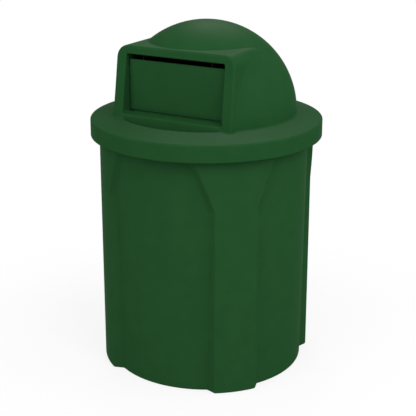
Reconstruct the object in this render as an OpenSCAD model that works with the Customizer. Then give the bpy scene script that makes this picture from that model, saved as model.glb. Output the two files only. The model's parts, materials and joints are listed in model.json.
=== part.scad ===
// Dome top waste receptacle: a round ribbed tub, a domed lid with a hooded push door, and a lift-out liner.
// Origin on the ground on the tub's axis, +Z up, the door faces -Y.

/* [Tub] */
// Radius over the four ribs
rib_r = 296; // [292:1:298]
// Height of the rolled rim that carries the lid
tub_h = 702; // [690:1:710]
// Wall thickness
tub_wall = 5; // [4:0.5:6]
// Floor thickness
floor_t = 6; // [5:0.5:8]
// Radius of the recessed panels at the foot
panel_foot_r = 273.5; // [270:0.5:277]
// Radius of the recessed panels at their top
panel_top_r = 281.5; // [279:0.5:284]
// Height at which the panels end, hidden by the lid's skirt
panel_end_z = 666; // [662:1:668]
// Half angle of a rib's face, in degrees
rib_half = 11.3; // [10:0.1:13]
// Angle that a rib's sloping flank takes, in degrees
flank_span = 4; // [3:0.1:5]
// Height at which the ribs begin to widen
flare_z = 518; // [480:2:560]
// Tilt of the widening flanks from upright, in degrees
flare_tilt = 17; // [10:1:18]
// Radius of the circle of drain holes
drain_circle_r = 200; // [150:5:230]
// Diameter of a drain hole
drain_d = 10; // [8:1:14]

/* [Lid] */
// Radius of the skirt
skirt_r = 320; // [318:1:324]
// Height of the skirt's lower edge
skirt_z = 659; // [650:1:660]
// Wall thickness
lid_wall = 5; // [4:0.5:6]
// Height of the dome's base, where the brim ends
base_z = 720.6; // [719:0.2:723]
// Radius of the dome
dome_r = 249; // [247:0.5:252]
// Height of the hood's flat top
hood_top = 914; // [908:1:918]
// Half width of the hood at the brim
hood_half = 181; // [179:0.5:183]
// Draft of the hood's side walls, in degrees
hood_draft = 0.7; // [0.4:0.1:1.2]
// Radius of the hood's upper corners
hood_corner_r = 32; // [28:1:36]
// Distance of the hood's front from the axis, at the brim
front_y = 192.8; // [191:0.2:195]
// Lean of the hood's front, in degrees
front_lean = 8; // [7:0.5:9]
// Height of the floor of the pocket in front of the hood
pocket_z = 702; // [700:1:706]

/* [Mouth and door] */
// Height of the mouth's upper edge
mouth_top = 891.5; // [890:0.5:893]
// Half width of the mouth at its upper edge
mouth_half = 148.5; // [148:0.1:149]
// Half width of the mouth at the brim
mouth_base_half = 150.5; // [150:0.1:151]
// Height of the sill's inner edge
sill_z = 735.7; // [735:0.1:736]
// Distance of the door's face from the axis
door_y = 158.5; // [158.3:0.1:158.7]
// Height of the door's upper edge
door_top = 875.5; // [875:0.5:876.5]
// Height of the door's lower edge
door_bottom = 737.4; // [737.3:0.1:738]
// Gap at each side of the door
door_gap = 1.6; // [1.5:0.1:2]
// Thickness of the door's panel
door_t = 4; // [3.6:0.1:4.2]
// Width of the bevelled border of the door's face
bevel_w = 9; // [7:0.5:11]
// Depth of that bevel
bevel_d = 1.2; // [1:0.1:1.6]
// Height of the hinge axis
hinge_z = 865; // [864.5:0.5:865.5]
// Diameter of the hinge rod
rod_d = 8; // [7.8:0.1:8.2]

/* [Liner] */
// Radius of the liner at its foot
liner_foot_r = 250; // [240:1:254]
// Radius of the liner below its flange
liner_top_r = 262; // [256:1:266]
// Wall thickness
liner_wall = 3.5; // [3:0.5:4]
// Height of the liner's underside
liner_z = 16; // [12:1:24]
// Length of a hand hole
grip_l = 110; // [90:5:120]
// Height of a hand hole
grip_h = 34; // [30:1:38]
// Height of the hand holes' centres
grip_z = 645; // [630:1:650]

/* [Hidden] */
$fn = 96;
big = 500;
eps = 0.01;
green = [0.13, 0.30, 0.16];

// overlap of shapes that are joined, and how far a cut runs past the surface it opens
lap = 2;

// gaps between pieces that rest on or run in each other
rest_gap = 0.3;
run_gap = 0.05;
fit_gap = 0.05;

// tub: rolled rim and the ledge inside it that carries the liner
bead_r = 312;
bead_in_r = 303;
bead_drop = 20;
lip_t = 5;
ledge_z = tub_h - 5;
foot_chamfer = 4;
rib_count = 4;

// plan of one flank, measured from the middle of the panel beside it
panel_half = 180 / rib_count;
out_a = panel_half - rib_half;
in_a = out_a - flank_span;
out_u = rib_r * cos(out_a);
out_v = rib_r * sin(out_a);
in_u = panel_foot_r * cos(in_a);
in_v = panel_foot_r * sin(in_a);
flank_a = atan2(out_v - in_v, out_u - in_u);
flare_a = atan(tan(flank_a) / cos(flare_tilt));
apex_u = out_u - out_v / tan(flank_a);

// lid: facets of a hood corner, brim and seat
corner_steps = 12;
brim_slope = 0.2106;
brim_edge_r = skirt_r - 2.5;
brim_edge_z = base_z - (brim_edge_r - dome_r) * brim_slope;
brim_drop = lid_wall * 1.03;
seat_z = tub_h + rest_gap;
seat_r = 300;
edge_bevel = 1.2;
ring_r = dome_r - lid_wall - 2;
pocket_r = dome_r - 4.5;

// mouth, sill and the cheeks beside the door
cheek_end_y = -131.5;
cheek_t = 5;
sill_front_z = 732.7;
sill_back_y = -160.5;
sill_foot_z = 717;
boss_r = 11;
boss_in_x = mouth_half + 1.4;
boss_l = 10;
spot_d = 0.7;

// hinge
hinge_y = -147.5;
rod_r = rod_d / 2;
rod_half_l = boss_in_x + boss_l + 4;
bush_r = 6.5;
bush_flange_r = 9.5;
bush_flange_t = 1.6;
nut_r = 8;
nut_t = 1.2;

// door
knuckle_r = 6.5;
middle_knuckle_half = 100;
side_knuckle = [130.5, 142];
door_rib_t = 3;
door_rib_d = 7;
flap_foot_z = 719;
flap_t = 4.5;
bumper_x = 100;
bumper_r = 5.5;
bumper_z = 726;
bumper_l = 4;

// return spring: closed coil on the rod, both legs in front of it
wire_r = 1.1;
coil_r = 5.8;
coil_x = 104;
coil_pitch = 2.5;
coil_turns = 9;
turn_steps = 12;
wire_sides = 6;
fixed_leg_z = 896;
moving_leg_z = 805;
header_end_y = hinge_y - coil_r - wire_r - rest_gap;

/* Shared shapes */

// half width of the mouth's side walls at height z
function mouth_x(z) = mouth_half + (mouth_top - z) * (mouth_base_half - mouth_half) / (mouth_top - base_z);

// half width of the hood at height z, moved in by t
function hood_x(z, t) = hood_half - (z - base_z) * tan(hood_draft) - t / cos(hood_draft);

// height of the brim's upper side at radius r
function brim_at(r) = base_z - (r - dome_r) * brim_slope;

// everything in front of the hood's leaning front, which is moved in by t
module front_side(t) {
    translate([0, -front_y, base_z])
        rotate([-front_lean, 0, 0])
            translate([-big, -2 * big + t, -big])
                cube(2 * big);
}

// an outline drawn in X and Z, pushed back from y0 to y1
module push_back(y0, y1) {
    translate([0, y1, 0])
        rotate([90, 0, 0])
            linear_extrude(y1 - y0)
                children();
}

/* Tub */

// plan between two flanks that meet in an apex at half angle a
module wedge_plan(a) {
    polygon([[0, 0], [big, -big * tan(a)], [big, big * tan(a)]]);
}

// space in front of one panel: upright flanks, then flanks that lean towards each other
module panel_space(inset) {
    apex = apex_u - inset / sin(flank_a);
    intersection() {
        translate([apex, 0, -lap])
            linear_extrude(panel_end_z - inset + lap)
                wedge_plan(flank_a);
        translate([apex, 0, flare_z])
            rotate([0, flare_tilt, 0])
                translate([0, 0, -2 * big])
                    linear_extrude(4 * big)
                        wedge_plan(flare_a);
    }
}

// the tub's outer form from z0 to z1, moved in by inset
module tub_form(inset, z0, z1) {
    slope = (panel_top_r - panel_foot_r) / panel_end_z;
    foot_r = panel_foot_r - inset;
    translate([0, 0, z0]) {
        cylinder(foot_chamfer, r1 = foot_r - foot_chamfer, r2 = foot_r + foot_chamfer * slope);
        translate([0, 0, foot_chamfer])
            cylinder(z1 - z0 - foot_chamfer, r1 = foot_r + foot_chamfer * slope,
                     r2 = foot_r + (z1 - z0) * slope);
    }
    difference() {
        translate([0, 0, z0]) {
            cylinder(foot_chamfer, r1 = rib_r - inset - foot_chamfer, r2 = rib_r - inset);
            translate([0, 0, foot_chamfer])
                cylinder(z1 - z0 - foot_chamfer, r = rib_r - inset);
        }
        for (k = [0:rib_count - 1])
            rotate(k * 360 / rib_count)
                panel_space(inset);
    }
}

// rolled rim: a web outwards from the wall, then a bead with a hanging lip
module tub_rim() {
    in_r = rib_r - tub_wall - lap;
    rotate_extrude()
        polygon([[in_r, ledge_z - tub_wall], [bead_r - lip_t, ledge_z - tub_wall],
                 [bead_r - lip_t, tub_h - bead_drop], [bead_r, tub_h - bead_drop], [bead_r, tub_h - 2],
                 [bead_r - 2, tub_h], [bead_in_r, tub_h], [bead_in_r, ledge_z], [in_r, ledge_z]]);
}

module tub() {
    color(green)
        difference() {
            union() {
                tub_form(0, 0, ledge_z - lap);
                tub_rim();
            }
            tub_form(tub_wall, floor_t, tub_h + 10);
            for (k = [0:rib_count - 1])
                rotate(45 + k * 360 / rib_count)
                    translate([drain_circle_r, 0, -lap])
                        cylinder(floor_t + 2 * lap, d = drain_d);
        }
}

/* Liner */

// a hand hole with round ends, through the wall on the +X side
module grip_hole() {
    translate([0, 0, grip_z])
        rotate([0, 90, 0]) {
            for (s = [-1, 1])
                translate([0, s * (grip_l - grip_h) / 2, 0])
                    cylinder(2 * rib_r, d = grip_h);
            translate([-grip_h / 2, -(grip_l - grip_h) / 2, 0])
                cube([grip_h, grip_l - grip_h, 2 * rib_r]);
        }
}

module liner() {
    flange_z = ledge_z + rest_gap;
    flange_r = bead_in_r - 2;
    color([0.10, 0.10, 0.11])
        difference() {
            rotate_extrude()
                polygon([[0, liner_z], [liner_foot_r - 8, liner_z], [liner_foot_r, liner_z + 8],
                         [liner_top_r, flange_z], [flange_r, flange_z], [flange_r, flange_z + liner_wall],
                         [liner_top_r - liner_wall, flange_z + liner_wall],
                         [liner_foot_r - liner_wall, liner_z + 9.5],
                         [liner_foot_r - 9.5, liner_z + liner_wall], [0, liner_z + liner_wall]]);
            grip_hole();
            rotate(180)
                grip_hole();
        }
}

/* Lid */

// half ball on the brim, moved in by t
module dome_form(t) {
    intersection() {
        translate([0, 0, base_z])
            sphere(dome_r - t);
        translate([-big, -big, base_z])
            cube(2 * big);
    }
}

// hood with drafted sides and round upper corners, moved in by t, from z0 up
module hood_form(t, z0) {
    r = hood_corner_r - t;
    top = hood_top - t;
    corner_z = top - r;
    corner_x = hood_x(corner_z, t) - r / cos(hood_draft);
    half = concat([[hood_x(z0, t), z0]],
                  [for (k = [0:corner_steps])
                      let (a = hood_draft + (90 - hood_draft) * k / corner_steps)
                          [corner_x + r * cos(a), corner_z + r * sin(a)]]);
    push_back(-big / 2, 0)
        polygon(concat(half, [for (k = [corner_steps + 1:-1:0]) [-half[k][0], half[k][1]]]));
}

// brim and skirt as one turned ring, with a flat seat for the tub's rim
module brim_and_skirt() {
    rotate_extrude()
        polygon([[ring_r, brim_at(ring_r) - brim_drop], [seat_r, brim_at(seat_r) - brim_drop],
                 [seat_r, seat_z], [skirt_r - lid_wall, seat_z], [skirt_r - lid_wall, skirt_z],
                 [skirt_r - edge_bevel, skirt_z],
                 [skirt_r, skirt_z + edge_bevel], [skirt_r, brim_edge_z - 2.3], [brim_edge_r, brim_edge_z],
                 [dome_r, base_z], [ring_r, base_z]]);
}

// dome, hood and brim with the space inside them taken out
module lid_shell() {
    difference() {
        union() {
            difference() {
                union() {
                    dome_form(0);
                    hood_form(0, base_z - brim_drop);
                }
                front_side(0);
            }
            brim_and_skirt();
        }
        difference() {
            union() {
                dome_form(lid_wall);
                hood_form(lid_wall, base_z);
                translate([0, 0, skirt_z])
                    cylinder(base_z - skirt_z + 1, r = ring_r);
            }
            front_side(lid_wall);
        }
    }
}

// floor, outer wall and back wall of the pocket, still solid
module pocket_block() {
    foot_z = pocket_z - lid_wall;
    intersection() {
        union() {
            translate([0, 0, foot_z])
                cylinder(base_z - brim_drop / 2 - foot_z, r = pocket_r + lid_wall);
            translate([0, 0, foot_z])
                cylinder(base_z + 3 - foot_z, r = pocket_r - 3);
        }
        front_side(lid_wall);
    }
}

module pocket_cut() {
    intersection() {
        translate([0, 0, pocket_z])
            cylinder(base_z + 10 - pocket_z, r = pocket_r);
        front_side(0);
    }
}

// side wall of the mouth on the +X side, with the boss that carries the hinge
module cheek() {
    push_back(-front_y - 10, cheek_end_y)
        polygon([[mouth_x(sill_foot_z) - lap, sill_foot_z], [mouth_x(sill_foot_z) + cheek_t, sill_foot_z],
                 [mouth_half + cheek_t, mouth_top + cheek_t], [mouth_half - lap, mouth_top + cheek_t]]);
    translate([boss_in_x + 1, hinge_y, hinge_z])
        rotate([0, 90, 0])
            cylinder(boss_l - 1, r = boss_r);
}

// flange behind the mouth's upper edge
module header() {
    translate([-mouth_half - lap, -front_y - 10, mouth_top - lap])
        cube([2 * (mouth_half + lap), front_y + 10 + header_end_y, cheek_t + lap]);
}

// an outline drawn in Z and -Y, stretched along X to both sides
module stretch_wide(half) {
    translate([half, 0, 0])
        rotate([0, -90, 0])
            linear_extrude(2 * half)
                children();
}

// plate that slopes up from the front to a turned-down flange under the door
module sill() {
    stretch_wide(mouth_x(sill_foot_z) + cheek_t / 2)
        polygon([[sill_front_z - lid_wall, -front_y - 10], [sill_front_z + lap, -front_y - 10],
                 [sill_z + lap, sill_back_y], [sill_foot_z, sill_back_y],
                 [sill_foot_z, sill_back_y - lid_wall], [sill_z - lid_wall, sill_back_y - lid_wall],
                 [sill_front_z - lid_wall, -front_y + 8]]);
}

// the mouth: tapers upwards, floored by the sill, open behind it
module mouth_cut() {
    intersection() {
        push_back(-big, 0)
            polygon([[-mouth_x(skirt_z), skirt_z], [mouth_x(skirt_z), skirt_z],
                     [mouth_half, mouth_top], [-mouth_half, mouth_top]]);
        stretch_wide(big)
            polygon([[sill_front_z, -big], [sill_front_z, -front_y], [sill_z, sill_back_y - lap],
                     [sill_z, sill_back_y], [skirt_z, sill_back_y], [skirt_z, 0],
                     [2 * big, 0], [2 * big, -big]]);
    }
}

// bore and spot face for the bush on the +X side
module bush_bore() {
    translate([boss_in_x, hinge_y, hinge_z])
        rotate([0, 90, 0]) {
            translate([0, 0, -lap])
                cylinder(boss_l + 2 * lap, r = bush_r + fit_gap);
            translate([0, 0, -2 * lap])
                cylinder(2 * lap + spot_d, r = bush_flange_r + 0.5);
        }
}

module lid() {
    color(green)
        difference() {
            union() {
                lid_shell();
                pocket_block();
                difference() {
                    union() {
                        cheek();
                        mirror([1, 0, 0])
                            cheek();
                        header();
                        sill();
                    }
                    front_side(1);
                }
            }
            pocket_cut();
            mouth_cut();
            bush_bore();
            mirror([1, 0, 0])
                bush_bore();
        }
}

/* Door and its hinge */

// outline of the door's panel, moved in by t
module door_outline(t) {
    low = mouth_x(door_bottom) - door_gap - t;
    high = mouth_x(door_top) - door_gap - t;
    polygon([[-low, door_bottom + t], [low, door_bottom + t], [high, door_top - t], [-high, door_top - t]]);
}

// wedge that cuts one bevel of the door's face along +X, lower side towards -Z
module bevel_cut() {
    rotate([atan2(bevel_d, bevel_w), 0, 0])
        translate([-big, -big, -big])
            cube([2 * big, big, 2 * big]);
}

module door_panel() {
    side_a = atan2(mouth_base_half - mouth_half, mouth_top - base_z);
    difference() {
        push_back(-door_y, -door_y + door_t)
            door_outline(0);
        translate([0, -door_y, door_bottom + bevel_w])
            bevel_cut();
        translate([0, -door_y, door_top - bevel_w])
            mirror([0, 0, 1])
                bevel_cut();
        for (s = [-1, 1])
            translate([s * (mouth_x(door_bottom) - door_gap - bevel_w), -door_y, door_bottom])
                rotate([0, -s * (90 + side_a), 0])
                    bevel_cut();
    }
}

// stiffening rib along the door's sides and lower edge, on its back
module door_rib() {
    intersection() {
        push_back(-door_y + door_t - eps, -door_y + door_t + door_rib_d)
            difference() {
                door_outline(2);
                door_outline(2 + door_rib_t);
            }
        translate([-big, -big, 0])
            cube([2 * big, 2 * big, hinge_z - 14]);
    }
}

// lower edge that hangs behind the sill's flange and meets the stops
module door_flap() {
    front = sill_back_y + bumper_l + rest_gap;
    top_z = door_bottom + flap_t;
    low = mouth_x(flap_foot_z) - door_gap - 1;
    high = mouth_x(top_z) - door_gap - 1;
    push_back(front, front + flap_t)
        polygon([[-low, flap_foot_z], [low, flap_foot_z], [high, top_z], [-high, top_z]]);
}

// part of the door's barrel from x0 to x1
module knuckle(x0, x1) {
    difference() {
        union() {
            translate([x0, hinge_y, hinge_z])
                rotate([0, 90, 0])
                    cylinder(x1 - x0, r = knuckle_r);
            translate([x0, -door_y + door_t - eps, hinge_z - knuckle_r])
                cube([x1 - x0, door_y - door_t + hinge_y + eps, knuckle_r]);
        }
        translate([x0 - lap, hinge_y, hinge_z])
            rotate([0, 90, 0])
                cylinder(x1 - x0 + 2 * lap, r = rod_r + run_gap);
    }
}

module door() {
    color(green) {
        door_panel();
        door_rib();
        door_flap();
        knuckle(-middle_knuckle_half, middle_knuckle_half);
        for (s = [0, 1])
            mirror([s, 0, 0])
                knuckle(side_knuckle[0], side_knuckle[1]);
    }
}

module hinge_rod() {
    color("silver")
        translate([-rod_half_l, hinge_y, hinge_z])
            rotate([0, 90, 0])
                cylinder(2 * rod_half_l, r = rod_r);
}

// flanged bush in a cheek, on the +X side
module bush() {
    color("ivory")
        translate([boss_in_x + spot_d - fit_gap - bush_flange_t, hinge_y, hinge_z])
            rotate([0, 90, 0])
                difference() {
                    union() {
                        cylinder(bush_flange_t, r = bush_flange_r);
                        cylinder(bush_flange_t + boss_l - spot_d, r = bush_r);
                    }
                    translate([0, 0, -lap])
                        cylinder(bush_flange_t + boss_l + 2 * lap, r = rod_r + run_gap);
                }
}

module bush_left() {
    mirror([1, 0, 0])
        bush();
}

module bush_right() {
    bush();
}

// push nut on the rod's end, on the +X side
module push_nut() {
    color("silver")
        translate([boss_in_x + boss_l + rest_gap, hinge_y, hinge_z])
            rotate([0, 90, 0])
                difference() {
                    cylinder(nut_t, r = nut_r);
                    translate([0, 0, -lap])
                        cylinder(nut_t + 2 * lap, r = rod_r + fit_gap);
                }
}

module push_nut_left() {
    mirror([1, 0, 0])
        push_nut();
}

module push_nut_right() {
    push_nut();
}

// centre line of the spring's wire: fixed leg down, the turns, moving leg down the door's back
function wire_path() = concat(
    [for (z = [fixed_leg_z, (fixed_leg_z + hinge_z) / 2]) [coil_x, hinge_y - coil_r, z]],
    [for (i = [0:coil_turns * turn_steps])
        let (a = 180 + i * 360 / turn_steps)
            [coil_x + coil_pitch * i / turn_steps, hinge_y + coil_r * cos(a), hinge_z + coil_r * sin(a)]],
    [for (z = [(moving_leg_z + hinge_z) / 2, moving_leg_z])
        [coil_x + coil_pitch * coil_turns, hinge_y - coil_r, z]]);

// tube of radius r along a path that never runs along X
module wire_tube(path, r) {
    last = len(path) - 1;
    rings = [for (i = [0:last])
        let (t = path[min(i + 1, last)] - path[max(i - 1, 0)],
             n = cross(t, [1, 0, 0]) / norm(cross(t, [1, 0, 0])),
             b = cross(t, n) / norm(cross(t, n)))
            for (k = [0:wire_sides - 1])
                path[i] + r * (n * cos(k * 360 / wire_sides) + b * sin(k * 360 / wire_sides))];
    sides = [for (i = [0:last - 1], k = [0:wire_sides - 1])
        let (a = i * wire_sides + k, b = i * wire_sides + (k + 1) % wire_sides)
            each [[a, b, b + wire_sides], [a, b + wire_sides, a + wire_sides]]];
    caps = [for (k = [1:wire_sides - 2])
        each [[0, k + 1, k], [last * wire_sides, last * wire_sides + k, last * wire_sides + k + 1]]];
    polyhedron(rings, concat(sides, caps));
}

module return_spring_right() {
    color("gray")
        wire_tube(wire_path(), wire_r);
}

module return_spring_left() {
    color("gray")
        mirror([1, 0, 0])
            wire_tube(wire_path(), wire_r);
}

// rubber stop behind the sill, met by the door's flap, on the +X side
module door_bumper() {
    color([0.12, 0.12, 0.12])
        translate([bumper_x, sill_back_y + bumper_l, bumper_z])
            rotate([90, 0, 0])
                cylinder(bumper_l - fit_gap, r = bumper_r);
}

module door_bumper_left() {
    mirror([1, 0, 0])
        door_bumper();
}

module door_bumper_right() {
    door_bumper();
}

tub();
liner();
lid();
door();
hinge_rod();
bush_left();
bush_right();
push_nut_left();
push_nut_right();
return_spring_left();
return_spring_right();
door_bumper_left();
door_bumper_right();
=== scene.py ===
# %% [markdown]
# # Dome top waste receptacle
# A round outdoor litter bin: a ribbed tub, a domed lid with a hooded push door, and a liner that
# lifts out with the bag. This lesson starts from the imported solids, which fix every size, and
# builds the skin that the eye sees: rounded edges, moulded plastic, bent wire and soft light.

import json
import math

import bmesh
import bpy
import numpy as np
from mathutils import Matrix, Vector

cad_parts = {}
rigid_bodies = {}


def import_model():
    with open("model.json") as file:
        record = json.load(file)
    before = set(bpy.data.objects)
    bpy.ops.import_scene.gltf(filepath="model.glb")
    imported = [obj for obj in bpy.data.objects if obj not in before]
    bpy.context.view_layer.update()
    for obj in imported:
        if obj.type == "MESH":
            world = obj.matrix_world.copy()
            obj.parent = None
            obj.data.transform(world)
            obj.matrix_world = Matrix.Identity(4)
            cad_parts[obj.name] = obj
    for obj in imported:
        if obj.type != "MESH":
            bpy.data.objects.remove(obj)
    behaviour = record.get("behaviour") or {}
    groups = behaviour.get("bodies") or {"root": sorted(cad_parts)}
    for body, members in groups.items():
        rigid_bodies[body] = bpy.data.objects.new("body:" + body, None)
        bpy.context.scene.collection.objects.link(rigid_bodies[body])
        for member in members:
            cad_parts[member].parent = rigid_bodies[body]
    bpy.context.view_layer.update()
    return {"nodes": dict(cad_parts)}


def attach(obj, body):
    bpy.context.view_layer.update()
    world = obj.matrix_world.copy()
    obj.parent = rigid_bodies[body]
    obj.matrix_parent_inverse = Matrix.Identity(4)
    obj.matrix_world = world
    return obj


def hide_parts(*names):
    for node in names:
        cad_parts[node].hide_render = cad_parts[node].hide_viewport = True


for left_over in list(bpy.data.objects):
    bpy.data.objects.remove(left_over)
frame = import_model()
MM = 0.001
print("nodes", sorted(frame["nodes"]))

# %% [markdown]
# ## Colours and one way to add a node
# Colours are written as sRGB hex, as a paint chart gives them, and one function turns them into
# the linear numbers that a shader wants. One small function adds a node with its settings and
# links, so that each material below reads as a list of what it is made of.


# %% Colour and node helpers
def linear(hex_text):
    """A colour written as sRGB hex, as linear RGBA."""
    values = [int(hex_text[i : i + 2], 16) / 255 for i in (1, 3, 5)]
    return [v / 12.92 if v <= 0.04045 else ((v + 0.055) / 1.055) ** 2.4 for v in values] + [1.0]


def add(tree, kind, links=None, inputs=None, **settings):
    """Adds a node. links gives what feeds each of its inputs, and inputs their plain values."""
    node = tree.nodes.new(kind)
    for name, value in settings.items():
        setattr(node, name, value)
    for name, value in (inputs or {}).items():
        node.inputs[name].default_value = value
    for name, source in (links or {}).items():
        tree.links.new(source, node.inputs[name])
    return node


MIX_A, MIX_B, MIX_RESULT = 6, 7, 2  # a Mix node's colour sockets, by place, because names repeat


def new_material(name):
    """An empty node material and its tree."""
    material = bpy.data.materials.new(name)
    material.use_nodes = True
    material.node_tree.nodes.clear()
    return material, material.node_tree


print("the paint #808080 throws back", round(linear("#808080")[0], 3), "of the light")


# %% [markdown]
# ## Moulded polyethylene
# The tub, lid and door of such a bin are moulded in polyethylene that is coloured right through.
# The eye gets a soft, plain skin: a colour that drifts very slightly where the wall is thicker, a
# fine grain left by the blasted mould, and next to no gloss, because that grain scatters it. An
# even colour would do from afar, but up close it looks like paint. So each of these has its own
# noise, whose size is worked out from a length in millimetres.

# %% Polyethylene
MOTTLE_MM = 45.0  # length of the drifts in colour
MOTTLE_LOW, MOTTLE_HIGH = 0.30, 0.70  # the part of the noise over which the colour changes
GRAIN_MM = 1.6  # a real mould's grain is about 0.3 mm; this is as coarse as it has to be to show
GRAIN_DEPTH_MM = 0.15
SKIN_DRIFT = 0.03  # how far the roughness drifts along with the colour
POLYETHYLENE_IOR = 1.51
SHEEN = 0.0015  # matched to the photograph, whose walls show only a trace of gloss


def moulded_polyethylene(name, colour, darker, matt=0.5, grain=0.10, gloss=SHEEN):
    """Matt polyethylene: drifting colour, uneven skin and a blasted-mould grain."""
    material, tree = new_material(name)
    place = add(tree, "ShaderNodeTexCoord").outputs["Object"]
    drift = add(
        tree,
        "ShaderNodeTexNoise",
        {"Vector": place},
        {"Scale": 1 / (MOTTLE_MM * MM), "Detail": 3.0},
    )
    tone = add(tree, "ShaderNodeValToRGB", {"Fac": drift.outputs["Fac"]})
    tone.color_ramp.elements[0].position = MOTTLE_LOW
    tone.color_ramp.elements[0].color = linear(darker)
    tone.color_ramp.elements[1].position = MOTTLE_HIGH
    tone.color_ramp.elements[1].color = linear(colour)
    skin = add(
        tree, "ShaderNodeTexNoise", {"Vector": place}, {"Scale": 1 / (GRAIN_MM * MM), "Detail": 2.0}
    )
    rough = add(
        tree,
        "ShaderNodeMapRange",
        {"Value": drift.outputs["Fac"]},
        {
            "From Min": MOTTLE_LOW,
            "From Max": MOTTLE_HIGH,
            "To Min": matt - SKIN_DRIFT,
            "To Max": matt + SKIN_DRIFT,
        },
    )
    bump = add(
        tree,
        "ShaderNodeBump",
        {"Height": skin.outputs["Fac"]},
        {"Strength": grain, "Distance": GRAIN_DEPTH_MM * MM},
    )
    shader = add(
        tree,
        "ShaderNodeBsdfPrincipled",
        {
            "Base Color": tone.outputs["Color"],
            "Roughness": rough.outputs["Result"],
            "Normal": bump.outputs["Normal"],
        },
        {"IOR": POLYETHYLENE_IOR, "Specular IOR Level": gloss},
    )
    add(tree, "ShaderNodeOutputMaterial", {"Surface": shader.outputs["BSDF"]})
    return material


# %% Mix the bin's plastics
# a deep, even green that shows a pale sheen only where light comes from behind
lid_green = moulded_polyethylene("moulded polyethylene of the lid", "#224b28", "#204927")
door_green = moulded_polyethylene("moulded polyethylene of the door", "#224b28", "#204927")
# painted shade: the same green without that sheen, for faces that the hood shelters, which look
# deeper and flat
green_with_painted_shade = moulded_polyethylene(
    "glossless polyethylene of the mouth, as painted shade", "#224b28", "#204927", gloss=0.0
)
# a touch lighter than the lid's green, matched to the tub's tone under these lamps
tub_green = moulded_polyethylene("moulded polyethylene of the tub", "#244d2a", "#224a28")
# black and a little rougher, so that the inside reads as a dark hollow
liner_black = moulded_polyethylene("black moulded polyethylene", "#1c1d1f", "#18191b", matt=0.55)
for plastic in (lid_green, door_green, green_with_painted_shade, tub_green, liner_black):
    print("made", plastic.name)

# %% [markdown]
# ## Drawn steel
# The hinge is a drawn stainless rod. Drawing it through a die leaves fine lines along the metal,
# so the eye gets a soft streak of light instead of a mirror. The Principled shader could stretch
# its highlight by itself, but short lines also break it up, as on real wire. So the roughness
# follows a noise that is squeezed along X.


# %% Drawn steel
DRAWN_LINE_MM = 0.4  # spacing of the lines, as coarse as they have to be to show
DRAWN_DEPTH_MM = 0.02
LINE_LENGTH = (0.04, 1.0, 1.0)  # a line is 25 times as long as it is wide
DRAWN_DRIFT = 0.06  # how far the roughness changes from line to line


def drawn_steel(name, colour, roughness):
    """Stainless steel drawn through a die, with fine lines along X."""
    material, tree = new_material(name)
    place = add(tree, "ShaderNodeTexCoord").outputs["Object"]
    along = add(tree, "ShaderNodeMapping", {"Vector": place}, {"Scale": LINE_LENGTH})
    lines = add(
        tree,
        "ShaderNodeTexNoise",
        {"Vector": along.outputs["Vector"]},
        {"Scale": 1 / (DRAWN_LINE_MM * MM), "Detail": 2.0},
    )
    rough = add(
        tree,
        "ShaderNodeMapRange",
        {"Value": lines.outputs["Fac"]},
        {"To Min": roughness - DRAWN_DRIFT, "To Max": roughness + DRAWN_DRIFT},
    )
    bump = add(
        tree,
        "ShaderNodeBump",
        {"Height": lines.outputs["Fac"]},
        {"Strength": 0.1, "Distance": DRAWN_DEPTH_MM * MM},
    )
    shader = add(
        tree,
        "ShaderNodeBsdfPrincipled",
        {"Roughness": rough.outputs["Result"], "Normal": bump.outputs["Normal"]},
        {"Base Color": linear(colour), "Metallic": 1.0},
    )
    add(tree, "ShaderNodeOutputMaterial", {"Surface": shader.outputs["BSDF"]})
    return material


rod_steel = drawn_steel("drawn stainless steel rod", "#c4c5c7", 0.28)  # bright, with a soft streak
print("made", rod_steel.name)

# %% [markdown]
# ## Acetal, coated wire and rubber
# The rod turns in black acetal bushes, the springs are black coated wire, and the door's stops are
# rubber. All three are black, so the eye tells them apart by their skin: acetal has a waxy glint,
# the thin electrocoat is dull and nearly swallows the light, and rubber is matt. One function
# makes all three, and only the roughness, the IOR and the grain differ.


# %% Small black mouldings
SPECK_DEPTH_MM = 0.1


def plain_moulding(name, colour, darker, roughness, ior, grain_mm):
    """A small moulding whose colour and skin vary a little."""
    material, tree = new_material(name)
    place = add(tree, "ShaderNodeTexCoord").outputs["Object"]
    cloud = add(
        tree, "ShaderNodeTexNoise", {"Vector": place}, {"Scale": 1 / (grain_mm * MM), "Detail": 4.0}
    )
    tone = add(
        tree,
        "ShaderNodeMix",
        {"Factor": cloud.outputs["Fac"]},
        {MIX_A: linear(colour), MIX_B: linear(darker)},
        data_type="RGBA",
    )
    bump = add(
        tree,
        "ShaderNodeBump",
        {"Height": cloud.outputs["Fac"]},
        {"Strength": 0.15, "Distance": SPECK_DEPTH_MM * MM},
    )
    shader = add(
        tree,
        "ShaderNodeBsdfPrincipled",
        {"Base Color": tone.outputs[MIX_RESULT], "Normal": bump.outputs["Normal"]},
        {"Roughness": roughness, "IOR": ior},
    )
    add(tree, "ShaderNodeOutputMaterial", {"Surface": shader.outputs["BSDF"]})
    return material


# dull, with a low IOR, because a thin dip coat on wire in deep shade shows no glint
coated_wire = plain_moulding(
    "black electrocoated spring wire", "#131314", "#0f0f10", 0.6, 1.25, 1.0
)
acetal = plain_moulding("black acetal", "#1c1c1d", "#171718", 0.5, 1.48, 3.0)  # a waxy glint
rubber = plain_moulding("black rubber", "#1b1b1c", "#151516", 0.75, 1.52, 1.5)  # matt, no glint
print("made", coated_wire.name, acetal.name, rubber.name)

# %% [markdown]
# ## Drawing a moulding with distances
# The lid is one moulding in which a ball, a leaning box, a sloping brim and a mouth run into each
# other, and a mould maker rounds every edge where they meet. Bevelling a mesh of such cuts tears
# easily. Here the form is a function instead: it gives, for any point, the distance to the
# plastic, below zero inside. Two functions join such distances with a hollow fillet or a rounded
# edge of a given radius in millimetres.


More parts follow.
